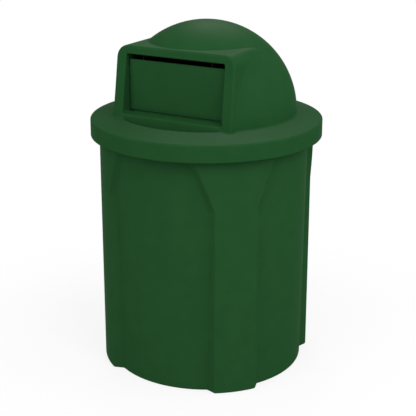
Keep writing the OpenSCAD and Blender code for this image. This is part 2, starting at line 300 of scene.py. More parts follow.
# %% Joining distances
def filleted(a, b, r):
    """The form that is in a or in b, with a hollow fillet of radius r where they meet."""
    return np.maximum(r, np.minimum(a, b)) - np.hypot(np.maximum(r - a, 0), np.maximum(r - b, 0))


def rounded(a, b, r):
    """The form that is in both a and b, with an edge of radius r where they meet."""
    return np.minimum(-r, np.maximum(a, b)) + np.hypot(np.maximum(r + a, 0), np.maximum(r + b, 0))


corner_depth = -float(filleted(0.0, 0.0, 10.0))
print("a fillet of 10 mm covers a square corner by", round(corner_depth, 2), "mm")

# %% [markdown]
# ## From distances to a mesh
# A grid of points is laid over the form, and the function is worked out only in blocks of it that
# lie near the surface. Each cell that the surface crosses gets one vertex, and each grid edge that
# it crosses gets one face: this is the method called surface nets. The vertices are then moved
# along the slope of the function until they lie on the surface. A remesh of a rough block would be
# shorter to write, but it rounds every edge alike, and here each has its own radius.

# %% The grid's cells
CORNERS = np.array([(i, j, k) for i in (0, 1) for j in (0, 1) for k in (0, 1)])
EDGES = [
    (a, b) for a in range(8) for b in range(a + 1, 8) if np.abs(CORNERS[a] - CORNERS[b]).sum() == 1
]
print("a cell has", len(CORNERS), "corners and", len(EDGES), "edges")

# %% Distances near the surface
BLOCK = 8  # nodes along a block, which is worked out or left rough as a whole
BATCH = 500  # blocks worked out together, to spare memory


def distances_near(form, low, step, count):
    """The function on a grid of nodes, worked out only in blocks near the surface."""
    blocks = [int(math.ceil(c / BLOCK)) for c in count]
    size = BLOCK * step
    centres = [low[a] + (np.arange(blocks[a]) + 0.5) * size for a in range(3)]
    rough = form(*np.meshgrid(*centres, indexing="ij"))
    values = np.repeat(np.repeat(np.repeat(rough, BLOCK, 0), BLOCK, 1), BLOCK, 2)
    near = np.argwhere(np.abs(rough) < size)
    offsets = np.stack(np.meshgrid(*[np.arange(BLOCK)] * 3, indexing="ij"), -1).reshape(-1, 3)
    for part in np.array_split(near, max(1, len(near) // BATCH)):
        index = (part[:, None, :] * BLOCK + offsets[None]).reshape(-1, 3)
        place = np.array(low) + index * step
        values[index[:, 0], index[:, 1], index[:, 2]] = form(place[:, 0], place[:, 1], place[:, 2])
    return values


print("a block holds", BLOCK**3, "points")

# %% Slope of the function
SLOPE_REACH = 0.05  # millimetres round a point at which the slope is measured
TINY = 1e-6  # keeps a division away from nothing
TURNS_OF_SLOPE = np.array([(1, 1, 1), (1, -1, -1), (-1, 1, -1), (-1, -1, 1)], float)


def slope_of(form, p):
    """The unit slope of the function at points p, the function itself and the slope's length."""
    total = np.zeros_like(p)
    mean = np.zeros(len(p))
    for t in TURNS_OF_SLOPE:
        q = p + t * SLOPE_REACH
        value = form(q[:, 0], q[:, 1], q[:, 2])
        total += value[:, None] * t
        mean += value / 4
    gradient = total / (4 * SLOPE_REACH)
    length = np.maximum(np.linalg.norm(gradient, axis=1), TINY)
    return gradient / length[:, None], mean, length


def settle(form, p, rounds, limit):
    """Moves points along the slope until they lie on the surface."""
    for _ in range(rounds):
        direction, value, length = slope_of(form, p)
        p = p - direction * np.clip(value / length, -limit, limit)[:, None]
    return p


ball = settle(lambda x, y, z: np.sqrt(x * x + y * y + z * z) - 10, np.array([[12.0, 0, 0]]), 3, 5)
print("a point 12 mm from the middle of a 10 mm ball settles at", round(float(ball[0, 0]), 3))


# %% One vertex in each cell that the surface crosses
def net_points(values, inside, low, step):
    """The vertices in millimetres, and each cell's vertex by number."""
    shape = np.array(values.shape) - 1
    total = sum(
        inside[i : i + shape[0], j : j + shape[1], k : k + shape[2]].astype(np.int8)
        for i, j, k in CORNERS
    )
    cells = np.argwhere((total > 0) & (total < len(CORNERS)))
    number = np.full(shape, -1, np.int64)
    number[cells[:, 0], cells[:, 1], cells[:, 2]] = np.arange(len(cells))
    v = np.stack([values[tuple((cells + c).T)] for c in CORNERS], 1)
    point, crossings = np.zeros((len(cells), 3)), np.zeros(len(cells))
    for a, b in EDGES:
        cut = (v[:, a] < 0) != (v[:, b] < 0)
        t = np.where(cut, v[:, a] / np.where(cut, v[:, a] - v[:, b], 1), 0)
        point += np.where(cut[:, None], CORNERS[a] + t[:, None] * (CORNERS[b] - CORNERS[a]), 0)
        crossings += cut
    return low + (cells + point / crossings[:, None]) * step, number


# %% One face round each grid edge that the surface crosses
CELLS_ROUND = ((0, 0), (-1, 0), (-1, -1), (0, -1))  # the four cells that share an edge


def net_faces(inside, number):
    """Quads between neighbouring cells' vertices, which face out of the plastic."""
    shape = number.shape
    quads = []
    for axis in range(3):
        one, two = (axis + 1) % 3, (axis + 2) % 3
        first, second = [slice(None)] * 3, [slice(None)] * 3
        first[axis], second[axis] = slice(0, -1), slice(1, None)
        edge = np.argwhere(inside[tuple(first)] != inside[tuple(second)])
        edge = edge[(edge[:, one] > 0) & (edge[:, two] > 0)]
        edge = edge[np.all(edge < shape, axis=1)]
        ring = []
        for d1, d2 in CELLS_ROUND:
            cell = edge.copy()
            cell[:, one] += d1
            cell[:, two] += d2
            ring.append(number[tuple(cell.T)])
        ring = np.stack(ring, 1)
        leaves = inside[tuple(edge.T)]
        ring[~leaves] = ring[~leaves][:, ::-1]
        quads.append(ring)
    return np.concatenate(quads)


def surface_net(form, low, high, step):
    """Vertices and quads of the surface of a form inside a box, in millimetres."""
    low = np.array(low, float) - 2 * step
    count = np.ceil((np.array(high, float) + 2 * step - low) / step).astype(int)
    values = distances_near(form, low, step, count)
    inside = values < 0
    points, number = net_points(values, inside, low, step)
    return points, net_faces(inside, number)


# %% Mesh helpers
def mesh_from(name, points, faces):
    """A mesh from points in millimetres and a list or array of faces."""
    mesh = bpy.data.meshes.new(name)
    if isinstance(faces, np.ndarray):
        mesh.vertices.add(len(points))
        mesh.vertices.foreach_set("co", (np.asarray(points) * MM).astype(np.float32).ravel())
        sides = faces.shape[1]
        mesh.loops.add(faces.size)
        mesh.loops.foreach_set("vertex_index", faces.astype(np.int32).ravel())
        mesh.polygons.add(len(faces))
        mesh.polygons.foreach_set("loop_start", np.arange(0, faces.size, sides, dtype=np.int32))
        mesh.update(calc_edges=True)
    else:
        mesh.from_pydata([[c * MM for c in p] for p in points], [], faces)
    mesh.validate()
    mesh.update()
    return mesh


def points_of(mesh):
    """A mesh's vertices in millimetres."""
    co = np.empty(len(mesh.vertices) * 3, np.float32)
    mesh.vertices.foreach_get("co", co)
    return co.reshape(-1, 3).astype(float) / MM


def place_object(name, mesh, material=None):
    """An object at the origin with that mesh, in the scene."""
    thing = bpy.data.objects.new(name, mesh)
    bpy.context.scene.collection.objects.link(thing)
    if material is not None:
        mesh.materials.clear()
        mesh.materials.append(material)
    return thing


def baked(thing):
    """The object with its modifiers applied, as a plain mesh."""
    graph = bpy.context.evaluated_depsgraph_get()
    mesh = bpy.data.meshes.new_from_object(thing.evaluated_get(graph))
    thing.modifiers.clear()
    old = thing.data
    thing.data = mesh
    bpy.data.meshes.remove(old)
    mesh.name = thing.name
    return thing


def triangles(thing):
    """The number of triangles in an object's mesh."""
    return sum(len(p.vertices) - 2 for p in thing.data.polygons)


# %% [markdown]
# ### Thinning what is nearly flat
# The net has as many faces on a flat side as on a fillet. The Decimate modifier thins it, and a
# vertex group keeps it off every place that bends. The normals then come from the function's own
# slope, so the skin shades as smoothly as the real moulding, however few faces are left.

# %% A moulding from its function
FINE_BEND = 1 - math.cos(math.radians(1.6))  # a bend between two vertices that counts as a fillet
FINE_RINGS = 2  # rings of vertices round a fillet that are kept as well
FLAT_PULL = 20.0  # how much more the flat places are thinned than the fillets


def thin_flats(thing, form, points, ratio):
    """Thins the flat places of a moulding and gives its new points."""
    normal = slope_of(form, points)[0]
    ends = np.empty(len(thing.data.edges) * 2, np.int32)
    thing.data.edges.foreach_get("vertices", ends)
    ends = ends.reshape(-1, 2)
    bend = 1 - (normal[ends[:, 0]] * normal[ends[:, 1]]).sum(1)
    keep = np.zeros(len(points), bool)
    for end in (0, 1):
        np.logical_or.at(keep, ends[:, end], bend > FINE_BEND)
    for _ in range(FINE_RINGS):
        touched = keep[ends[:, 0]] | keep[ends[:, 1]]
        keep[ends[touched].ravel()] = True
    group = thing.vertex_groups.new(name="gentle")
    group.add(np.nonzero(~keep)[0].tolist(), 1.0, "REPLACE")
    thin = thing.modifiers.new("thin", "DECIMATE")
    thin.ratio = ratio
    thin.vertex_group = group.name
    thin.vertex_group_factor = FLAT_PULL
    baked(thing)
    thing.vertex_groups.clear()
    points = settle(form, points_of(thing.data), 2, 0.5)
    thing.data.vertices.foreach_set("co", (points * MM).astype(np.float32).ravel())
    return points


def moulding(name, form, low, high, step, material, target):
    """A moulded piece from its distance function, thinned to about target triangles."""
    points, quads = surface_net(form, low, high, step)
    points = settle(form, points, 3, step / 2)
    thing = place_object(name, mesh_from(name, points, quads), material)
    start = 2 * len(quads)
    if start > target:
        points = thin_flats(thing, form, points, target / start)
    thing.data.shade_smooth()
    thing.data.normals_split_custom_set_from_vertices(slope_of(form, points)[0])
    print(name, "went from", start, "to", triangles(thing), "triangles")
    return thing


# %% [markdown]
# ## The lid
# The real lid is one rotationally moulded shell, 5 mm thick. A half ball stands on a sloping brim
# with a hanging skirt. A box with drafted sides and round shoulders pushes out of the ball and
# makes the hood, its front leans back 8 degrees, and the brim drops to a shallow crescent in front
# of it. The hood's sides run softly into the ball, while its flat top meets it in a tighter line,
# so the fillet's radius changes between the two. Modelled by hand, such a blend takes many loops
# of faces and still shows in the shading, while a function gets it right by itself.

# %% Sizes of the lid in millimetres
BASE_Z, DOME_R, WALL = 720.6, 249.0, 5.0
SKIRT_R, SKIRT_Z, SEAT_R, SEAT_Z = 320.0, 659.0, 300.0, 702.3
HOOD_TOP, HOOD_HALF, HOOD_CORNER, HOOD_BACK_Y = 914.0, 181.0, 32.0, -20.0
HOOD_DRAFT, FRONT_LEAN = math.radians(0.7), math.radians(8.0)
FRONT_Y, POCKET_Z, POCKET_R = 192.8, 702.0, 244.5
BRIM_SLOPE = 0.2106
print("the lid is", 2 * SKIRT_R, "mm across and", BASE_Z + DOME_R - SKIRT_Z, "mm high")

# %% Sizes of the mouth in millimetres
MOUTH_TOP, MOUTH_HALF, MOUTH_BASE_HALF, MOUTH_REACH_Y = 891.5, 148.5, 150.5, -60.0
SILL_FRONT_Z, SILL_Z, SILL_BACK_Y, SILL_FOOT_Z = 732.7, 735.7, -160.5, 717.0
SILL_LEVEL = 2.0  # the sill rises inwards and is level for its last bit
CHEEK_END_Y, HEADER_END_Y, LINING_BACK = -131.5, -154.7, 3.2
SPARE = 3.5  # the lining starts this far inside the mouth, which the cut then takes away
HEADER_OVER, SILL_OVER = 3.0, 2.0  # how far header and sill run into the cheeks
HINGE_Y, HINGE_Z = -147.5, 865.0
BOSS_X, BOSS_L, BOSS_R, BOSS_IN = 149.9, 10.0, 11.0, 1.0
BORE_R, BORE_MIDDLE, BORE_HALF = 6.56, 4.0, 10.0
SPOT_R, SPOT_MIDDLE, SPOT_HALF = 10.0, 1.65, 2.35
print("the mouth is", 2 * MOUTH_HALF, "by", round(MOUTH_TOP - SILL_FRONT_Z, 1), "mm")

# %% Radii of the lid's fillets and edges in millimetres
SIDE_FILLET, TOP_FILLET, FRONT_EDGE, DOME_FOOT = 60.0, 10.0, 6.0, 3.5
BRIM_EDGE, SKIRT_EDGE, POCKET_EDGE, POCKET_FOOT = 4.0, 1.6, 1.5, 5.0
INNER_EDGE, UNDER_FILLET, SEAT_FILLET, POCKET_BACK = 3.0, 2.0, 1.5, 4.0
LINING_FILLET, LINING_FOOT, BOSS_EDGE, BORE_EDGE = 1.5, 2.0, 1.0, 0.4
MOUTH_CORNER, MOUTH_FOOT_CORNER, SILL_END = 3.0, 5.0, 2.0
MOUTH_EDGE, MOUTH_EDGE_GROWS = 3.0, 2.0  # the mouth's front edge gets rounder towards the sill
EDGE_GROWS_Z, EDGE_GROWS_OVER = 750.0, 14.0
SMALLEST = 0.01
print("the fillet grows from", TOP_FILLET, "mm on the hood's top to", SIDE_FILLET, "on its sides")

# %% Slopes of the brim, the mouth and the sill
MOUTH_TAPER = (MOUTH_BASE_HALF - MOUTH_HALF) / (MOUTH_TOP - BASE_Z)
TAPER_COS = math.cos(math.atan(MOUTH_TAPER))
BRIM_COS = math.cos(math.atan(BRIM_SLOPE))
SILL_SLOPE = (SILL_Z - SILL_FRONT_Z) / (FRONT_Y + SILL_BACK_Y - SILL_LEVEL)
SILL_COS = math.cos(math.atan(SILL_SLOPE))


def mouth_x(z):
    """Half width of the mouth at height z."""
    return MOUTH_HALF + (MOUTH_TOP - z) * MOUTH_TAPER


def front_of(y, z):
    """Distance in front of the hood's leaning face."""
    return -(y + FRONT_Y) * math.cos(FRONT_LEAN) + (z - BASE_Z) * math.sin(FRONT_LEAN)


def over_sill(y, z):
    """Distance above the sill, which rises a little inwards."""
    sill_z = np.clip(SILL_FRONT_Z + (y + FRONT_Y) * SILL_SLOPE, SILL_FRONT_Z, SILL_Z)
    return (z - sill_z) * SILL_COS


print("the sill rises", round(math.degrees(math.atan(SILL_SLOPE)), 1), "degrees inwards")


# %% Dome and hood
def dome_and_hood(ax, y, z, r, inset):
    """Ball and hood, moved in by inset, with the fillet between them."""
    up = np.maximum(z - BASE_Z, 0)
    from_centre = np.maximum(np.hypot(r, up), TINY)
    dome = from_centre - (DOME_R - inset)
    side = (ax - HOOD_HALF + (z - BASE_Z) * math.tan(HOOD_DRAFT)) * math.cos(HOOD_DRAFT) + inset
    top = z - (HOOD_TOP - inset)
    corner = HOOD_CORNER - inset
    hood = np.maximum(rounded(side, top, corner), y - HOOD_BACK_Y)
    # how the hood's own slope lies to the ball's, to size the fillet for the angle they meet at
    on_side, on_top = np.maximum(corner + side, SMALLEST), np.maximum(corner + top, SMALLEST)
    across = np.hypot(on_side, on_top)
    to_side = (math.cos(HOOD_DRAFT) * ax + math.sin(HOOD_DRAFT) * up) / from_centre
    meeting = np.clip((on_side * to_side + on_top * up / from_centre) / across, -1, 1)
    radius = (SIDE_FILLET * on_side**2 + TOP_FILLET * on_top**2) / across**2
    shrink = (1 - np.sqrt((1 + meeting) / 2)) / (1 - math.sqrt(0.5))
    return filleted(dome, hood, np.maximum(radius * shrink, SMALLEST))


# %% Outer and inner skin
def outer_skin(ax, y, z, r, front, brim_top):
    """Dome and hood on the brim, with the pocket sunk into it."""
    upper = rounded(dome_and_hood(ax, y, z, r, 0), front, FRONT_EDGE)
    brim = rounded(brim_top, r - SKIRT_R, BRIM_EDGE)
    pocket = rounded(r - POCKET_R, POCKET_Z - z, POCKET_FOOT)
    brim = rounded(brim, -pocket, POCKET_EDGE)
    return rounded(filleted(upper, brim, DOME_FOOT), SKIRT_Z - z, SKIRT_EDGE)


def inner_space(ax, y, z, r, front, brim_top):
    """The space under the dome, the hood and the brim, down to the seat on the tub."""
    space = rounded(dome_and_hood(ax, y, z, r, WALL), front + WALL, INNER_EDGE)
    under = np.maximum(brim_top + WALL, r - SEAT_R)
    seat = np.maximum(z - SEAT_Z, r - (SKIRT_R - WALL))
    space = filleted(filleted(space, under, UNDER_FILLET), seat, SEAT_FILLET)
    pocket = rounded(r - POCKET_R - WALL, POCKET_Z - WALL - z, POCKET_BACK)
    pocket = rounded(pocket, -(front + WALL), INNER_EDGE)
    return rounded(space, -pocket, INNER_EDGE)


# %% Cheeks, header and sill that line the mouth
def cheeks(wide, behind, y, z):
    """The two side walls of the mouth."""
    walls = rounded(np.maximum(-wide - SPARE, wide - WALL), y - CHEEK_END_Y, LINING_FILLET)
    high = np.maximum(SILL_FOOT_Z - z, z - MOUTH_TOP - WALL)
    return np.maximum(np.maximum(walls, behind), high)


def header(ax, behind, y, z):
    """The wall over the mouth, which ends in front of the rod."""
    high = np.maximum(MOUTH_TOP - SPARE - z, z - MOUTH_TOP - WALL)
    deep = np.maximum(np.maximum(high, y - HEADER_END_Y), behind)
    return np.maximum(deep, ax - MOUTH_HALF - HEADER_OVER)


def sill(wide, behind, y, z, over):
    """The wall under the mouth, with a flange down its back edge for the stops."""
    plate = np.maximum(np.maximum(over - SPARE, -over - WALL), y - SILL_BACK_Y - SPARE)
    thick = np.abs(y - SILL_BACK_Y + (WALL - SPARE) / 2) - (WALL + SPARE) / 2
    flange = np.maximum(thick, np.maximum(z - SILL_Z - SPARE, SILL_FOOT_Z - z))
    plate = filleted(plate, flange, LINING_FOOT)
    return np.maximum(np.maximum(plate, behind), wide - SILL_OVER)


def lining(ax, y, z, front, wide, over):
    """The walls round the mouth and the two bosses that carry the hinge's bushes."""
    behind = front + LINING_BACK
    walls = filleted(cheeks(wide, behind, y, z), header(ax, behind, y, z), LINING_FILLET)
    walls = filleted(walls, sill(wide, behind, y, z, over), LINING_FILLET)
    from_axis = np.hypot(y - HINGE_Y, z - HINGE_Z)
    along = np.abs(ax - BOSS_X - BOSS_L / 2 - BOSS_IN / 2) - (BOSS_L - BOSS_IN) / 2
    return filleted(walls, rounded(from_axis - BOSS_R, along, BOSS_EDGE), LINING_FILLET)


# %% The mouth, the bores and the whole lid
def mouth_cut(y, z, wide, over):
    """The space that the mouth takes out of the hood."""
    opening = rounded(wide, z - MOUTH_TOP, MOUTH_CORNER)
    floor = filleted(-over, SILL_BACK_Y - y, SILL_END)
    return np.maximum(rounded(opening, floor, MOUTH_FOOT_CORNER), y - MOUTH_REACH_Y)


def bore_cut(ax, y, z):
    """The bores for the bushes, with a flat face round each for the bush's flange."""
    from_axis = np.hypot(y - HINGE_Y, z - HINGE_Z)
    bore = np.maximum(from_axis - BORE_R, np.abs(ax - BOSS_X - BORE_MIDDLE) - BORE_HALF)
    spot = np.maximum(from_axis - SPOT_R, np.abs(ax - BOSS_X + SPOT_MIDDLE) - SPOT_HALF)
    return np.minimum(bore, spot)


def lid_form(x, y, z):
    """Distance to the lid, below zero inside the plastic."""
    ax, r = np.abs(x), np.hypot(x, y)
    front, over = front_of(y, z), over_sill(y, z)
    brim_top = (z - (BASE_Z - (r - DOME_R) * BRIM_SLOPE)) * BRIM_COS
    wide = (ax - mouth_x(z)) * TAPER_COS
    outer = outer_skin(ax, y, z, r, front, brim_top)
    shell = rounded(outer, -inner_space(ax, y, z, r, front, brim_top), SKIRT_EDGE)
    solid = filleted(shell, lining(ax, y, z, front, wide, over), LINING_FOOT)
    lower = np.clip((EDGE_GROWS_Z - z) / EDGE_GROWS_OVER, 0, 1)
    solid = rounded(solid, -mouth_cut(y, z, wide, over), MOUTH_EDGE + MOUTH_EDGE_GROWS * lower)
    return rounded(solid, -bore_cut(ax, y, z), BORE_EDGE)


half_wall = -float(lid_form(0.0, 0.0, BASE_Z + DOME_R - WALL / 2))
print("the dome's wall at its top is", round(2 * half_wall, 2), "mm thick")

# %% Make the lid
LID_STEP, QUICK_LID_STEP, LID_TRIANGLES = 2.4, 5.0, 190000
lid_step = LID_STEP
lid_low, lid_high = (-SKIRT_R, -SKIRT_R, SKIRT_Z), (SKIRT_R, SKIRT_R, 970)
lid_shell = moulding("lid_shell", lid_form, lid_low, lid_high, lid_step, lid_green, LID_TRIANGLES)

# %% [markdown]
# ### Painted shade on the mouth's faces
# On the real bin the hood keeps the sky's light off the sill and the wall below it, and they show
# no sheen. The lamp that makes the sheen here throws no shadow, so it would reach them through the
# hood. Their faces get the same plastic without gloss instead, which paints the hood's shade on
# them. The faces are found by a box in space, which still holds when the mesh changes.

# %% Paint the hood's shade on the mouth's faces
# the box round the sill and the wall below it, whose faces get the painted shade
PAINTED_SHADE_LOW, PAINTED_SHADE_HIGH = (-152, -212, 722), (152, -150, 748)


def shelter(thing, low, high, material):
    """Gives the faces inside a box, in millimetres, a material of their own, here painted shade."""
    faces = thing.data.polygons
    middle = np.empty(len(faces) * 3, np.float32)
    faces.foreach_get("center", middle)
    middle = middle.reshape(-1, 3) / MM
    inside = np.all((middle > low) & (middle < high), axis=1)
    thing.data.materials.append(material)
    faces.foreach_set("material_index", inside.astype(np.int32))
    thing.data.update()
    print(int(inside.sum()), "faces of", thing.name, "lie in the shelter of the hood")


# painted shade: the faces under the hood lose the sheen that the shadowless lamp would give them
shelter(lid_shell, PAINTED_SHADE_LOW, PAINTED_SHADE_HIGH, green_with_painted_shade)

# %% [markdown]
# ## The door
# The push door is a thin panel whose face has a sloping border about 9 mm wide. On its back there
# is a rib along the sides and the foot, a long barrel for the rod with a gap at each spring, and a
# flap that hangs behind the sill and meets the stops. The flap steps back behind the gap under the
# door, which leaves that gap in shade. The panel is made like the lid, from a function, so that
# its border, ribs and barrel all run into it with small fillets.

# %% Sizes of the door in millimetres
DOOR_Y, DOOR_T, DOOR_TOP, DOOR_BOTTOM, DOOR_GAP = -158.5, 4.0, 876.8, 738.2, 1.6
BORDER, BORDER_D, INTO_PANEL = 9.0, 2.2, 2.0
DOOR_RIB_D, DOOR_RIB_IN, DOOR_RIB_HALF, RIB_STOP = 7.0, 3.5, 1.5, 14.0
BARREL_R, BARREL_HALF, KNUCKLE, ROD_HOLE_R = 6.5, 100.0, (130.5, 142.0), 4.05
FLAP_Y, FLAP_T, FLAP_FOOT_Z, FLAP_GAP = -156.2, 4.5, 719.0, 1.0
FLAP_NECK, FLAP_SHOULDER_Z, FLAP_STEP = 2.2, 730.0, 3.0  # the step back, and where it starts
DOOR_CORNER, BORDER_EDGE, PANEL_EDGE, BACK_EDGE = 2.5, 1.2, 0.9, 0.8
BACK_FILLET, BARREL_EDGE, FLAP_EDGE = 1.5, 0.7, 1.2
print("the door is", round(DOOR_TOP - DOOR_BOTTOM, 1), "mm high and", DOOR_T, "mm thick")


# %% The panel, its rib, barrel and flap
def panel(side, outline, y, z):
    """The panel with its sloping border."""
    slope = BORDER_D / BORDER
    edge = np.maximum(np.maximum(side, z - DOOR_TOP), DOOR_BOTTOM - z)
    border = (DOOR_Y + BORDER_D + edge * slope - y) * math.cos(math.atan(slope))
    face = rounded(DOOR_Y - y, border, BORDER_EDGE)
    return rounded(rounded(outline, face, PANEL_EDGE), y - (DOOR_Y + DOOR_T), BACK_EDGE)


def stiff_rib(outline, y, z):
    """The rib along the sides and the foot, which stops below the barrel."""
    deep = y - (DOOR_Y + DOOR_T + DOOR_RIB_D)
    rib = rounded(np.abs(outline + DOOR_RIB_IN) - DOOR_RIB_HALF, deep, BACK_EDGE)
    return np.maximum(rib, np.maximum(z - HINGE_Z + RIB_STOP, DOOR_Y + INTO_PANEL - y))


def hinge_barrel(ax, y, z, around):
    """A long knuckle in the middle and a short one outside each spring."""
    high = np.maximum(z - HINGE_Z, HINGE_Z - BARREL_R - z)
    block = np.maximum(high, np.maximum(DOOR_Y + INTO_PANEL - y, y - HINGE_Y))
    outer_knuckle = np.abs(ax - sum(KNUCKLE) / 2) - (KNUCKLE[1] - KNUCKLE[0]) / 2
    along = np.minimum(ax - BARREL_HALF, outer_knuckle)
    return rounded(np.minimum(around - BARREL_R, block), along, BARREL_EDGE)


def flap(side, y, z):
    """The flap behind the sill, which steps back where the gap shows it."""
    neck = FLAP_NECK * np.clip((z - FLAP_SHOULDER_Z) / FLAP_STEP, 0, 1)
    thick = np.maximum(FLAP_Y + neck - y, y - FLAP_Y - FLAP_T)
    high = np.maximum(FLAP_FOOT_Z - z, z - DOOR_BOTTOM - FLAP_T)
    return rounded(rounded(side + FLAP_GAP, thick, FLAP_EDGE), high, FLAP_EDGE)


def door_form(x, y, z):
    """Distance to the door, below zero inside the plastic."""
    ax, around = np.abs(x), np.hypot(y - HINGE_Y, z - HINGE_Z)
    side = (ax - mouth_x(z) + DOOR_GAP) * TAPER_COS
    outline = rounded(side, z - DOOR_TOP, DOOR_CORNER)
    outline = rounded(outline, DOOR_BOTTOM - z, DOOR_CORNER)
    solid = filleted(panel(side, outline, y, z), stiff_rib(outline, y, z), BACK_FILLET)
    solid = filleted(solid, hinge_barrel(ax, y, z, around), BACK_FILLET)
    solid = filleted(solid, flap(side, y, z), FLAP_EDGE)
    return np.maximum(solid, ROD_HOLE_R - around)


# %% Make the door
DOOR_STEP, QUICK_DOOR_STEP, DOOR_TRIANGLES = 1.5, 3.0, 120000
door_step = DOOR_STEP
door_low, door_high = (-150, -160, 718), (150, -138, 884)
door_panel = moulding(
    "door_panel", door_form, door_low, door_high, door_step, door_green, DOOR_TRIANGLES
)

# %% [markdown]
# ## The tub
# The tub is one drawn form that repeats every quarter turn: half a sunk panel, a rib, half a
# panel. Its plan changes with height, because the panels widen upwards and, from 518 mm, the
# ribs' flanks lean outwards until the panels end under the lid. So one quarter is laid as a grid
# whose columns follow the panel, the flank and the rib, and whose rows climb the outside, go
# over the rolled rim and come down inside. A lathe could not make the ribs, and cutting panels out
# of a turned pail would leave their soft corners to be made by hand.

# %% Sizes of the tub in millimetres
RIB_R, TUB_H, TUB_WALL, FLOOR_T = 296.0, 702.0, 5.0, 6.0
PANEL_FOOT_R, PANEL_TOP_R, PANEL_END_Z = 273.5, 281.5, 666.0
RIB_COUNT, RIB_HALF, FLANK_SPAN = 4, 11.3, 4.0
FLARE_Z, FLARE_TILT, FLARE_SOFT = 518.0, math.radians(17.0), 10.0
LEDGE_Z, BEAD_R, BEAD_IN_R, BEAD_FOOT_Z, LIP_T = 697.0, 312.0, 303.0, 682.0, 5.0
FOOT_EDGE, FLOOR_EDGE, RIM_FOOT_Z, THROAT_Z, THROAT_FOOT_Z = 6.0, 8.0, 674.0, 690.0, 676.0
HOLLOW_R, HOLLOW_GROWS, RIDGE_R, RIDGE_LEAST = 7.0, 0.6, 6.5, 2.0
END_HOLLOW, END_RIDGE, FOOT_PLAN_Z = 5.0, 4.0, 10
print("the tub is", 2 * BEAD_R, "mm across its rim and", TUB_H, "mm high")

# %% The flank between a panel and a rib
OUT_A = math.radians(45 - RIB_HALF)
IN_A = math.radians(45 - RIB_HALF - FLANK_SPAN)
FLANK_A = math.atan2(
    RIB_R * math.sin(OUT_A) - PANEL_FOOT_R * math.sin(IN_A),
    RIB_R * math.cos(OUT_A) - PANEL_FOOT_R * math.cos(IN_A),
)
APEX = RIB_R * math.cos(OUT_A) - RIB_R * math.sin(OUT_A) / math.tan(FLANK_A)
print("the flank stands", round(math.degrees(FLANK_A - IN_A), 1), "degrees off the radius")


# %% Rounding a corner of a line
def round_corner(before, corner, after, radius, steps):
    """Points of an arc that rounds a corner of a line."""
    a, b = before - corner, after - corner
    a, b = a / np.linalg.norm(a), b / np.linalg.norm(b)
    half = math.acos(float(np.clip(a @ b, -1, 1))) / 2
    back = radius / math.tan(half)
    middle = corner + (a + b) / np.linalg.norm(a + b) * radius / math.sin(half)
    first, last = corner + a * back - middle, corner + b * back - middle
    points = []
    for t in np.linspace(0, 1, steps):
        p = first * (1 - t) + last * t
        points.append(middle + p / np.linalg.norm(p) * radius)
    return points


def round_path(corners, steps=6):
    """A line through corners given as radius, height and corner radius, where zero is sharp."""
    path = []
    for i, (r, z, radius) in enumerate(corners):
        if radius == 0:
            path.append((r, z))
            continue
        before, after = np.array(corners[i - 1][:2]), np.array(corners[i + 1][:2])
        path += [tuple(p) for p in round_corner(before, np.array((r, z)), after, radius, steps)]
    return path


print("a corner becomes", len(round_path([(0, 0, 0), (9, 0, 2), (9, 9, 0)])) - 2, "points")

# %% Plan of half a quarter at one height
PANEL_COLUMNS, CORNER_COLUMNS, FLANK_COLUMNS, RIB_COLUMNS = 18, 7, 3, 8
NEARBY = 0.03  # radians along a circle, enough to tell which way it runs on


def around_axis(radius, angle):
    """A point in plan at a radius and an angle."""
    return np.array([radius * math.cos(angle), radius * math.sin(angle)])


def on_flank(apex, radius):
    """Where the flank's line crosses a circle."""
    t = math.tan(FLANK_A)
    root = math.sqrt((apex * t * t) ** 2 - (1 + t * t) * ((apex * t) ** 2 - radius**2))
    u = (apex * t * t + root) / (1 + t * t)
    return np.array([u, (u - apex) * t])


def plan(z, inset):
    """Panel, flank and rib from a panel's middle to a rib's middle, as points in millimetres."""
    soft = math.hypot(z - FLARE_Z, FLARE_SOFT) - FLARE_SOFT
    lean = max(0.0, (z - FLARE_Z + soft) / 2) * math.tan(FLARE_TILT)
    apex = APEX + lean - inset / math.sin(FLANK_A)
    panel_r = PANEL_FOOT_R + (PANEL_TOP_R - PANEL_FOOT_R) * z / PANEL_END_Z - inset
    rib_r = RIB_R - inset
    inner, outer = on_flank(apex, panel_r), on_flank(apex, rib_r)
    before = around_axis(panel_r, math.atan2(inner[1], inner[0]) - NEARBY)
    after = around_axis(rib_r, math.atan2(outer[1], outer[0]) + NEARBY)
    hollow_r, ridge_r = HOLLOW_R + HOLLOW_GROWS * inset, max(RIDGE_R - inset, RIDGE_LEAST)
    hollow = round_corner(before, inner, outer, hollow_r, CORNER_COLUMNS)
    ridge = round_corner(inner, outer, after, ridge_r, CORNER_COLUMNS)
    a_hollow = math.atan2(hollow[0][1], hollow[0][0])
    a_ridge = math.atan2(ridge[-1][1], ridge[-1][0])
    points = [around_axis(panel_r, a) for a in np.linspace(0, a_hollow, PANEL_COLUMNS)[:-1]]
    points += hollow
    step = ridge[0] - hollow[-1]
    points += [hollow[-1] + step * k / FLANK_COLUMNS for k in range(1, FLANK_COLUMNS)]
    points += ridge
    points += [around_axis(rib_r, a) for a in np.linspace(a_ridge, math.pi / 4, RIB_COLUMNS)[1:]]
    return np.array(points)


print("half a quarter has", len(plan(0, 0)), "columns")


# %% Rows of the walls, the foot and the floor
def on_circle(points, radius):
    """The same directions on a circle."""
    return points / np.linalg.norm(points, axis=1)[:, None] * radius


def wall_rows(first, last, count, inset):
    """Rows of the plain wall between two heights."""
    return [(plan(z, inset), z) for z in np.linspace(first, last, count)]


def foot_rows():
    """Rows from the middle of the underside round the foot's edge."""
    rows = [(plan(0, FOOT_EDGE) * share, 0.0) for share in (0.0, 0.3, 0.6, 0.9)]
    for a in np.linspace(0, math.pi / 2, 6):
        rows.append((plan(0, FOOT_EDGE * (1 - math.sin(a))), FOOT_EDGE * (1 - math.cos(a))))
    return rows


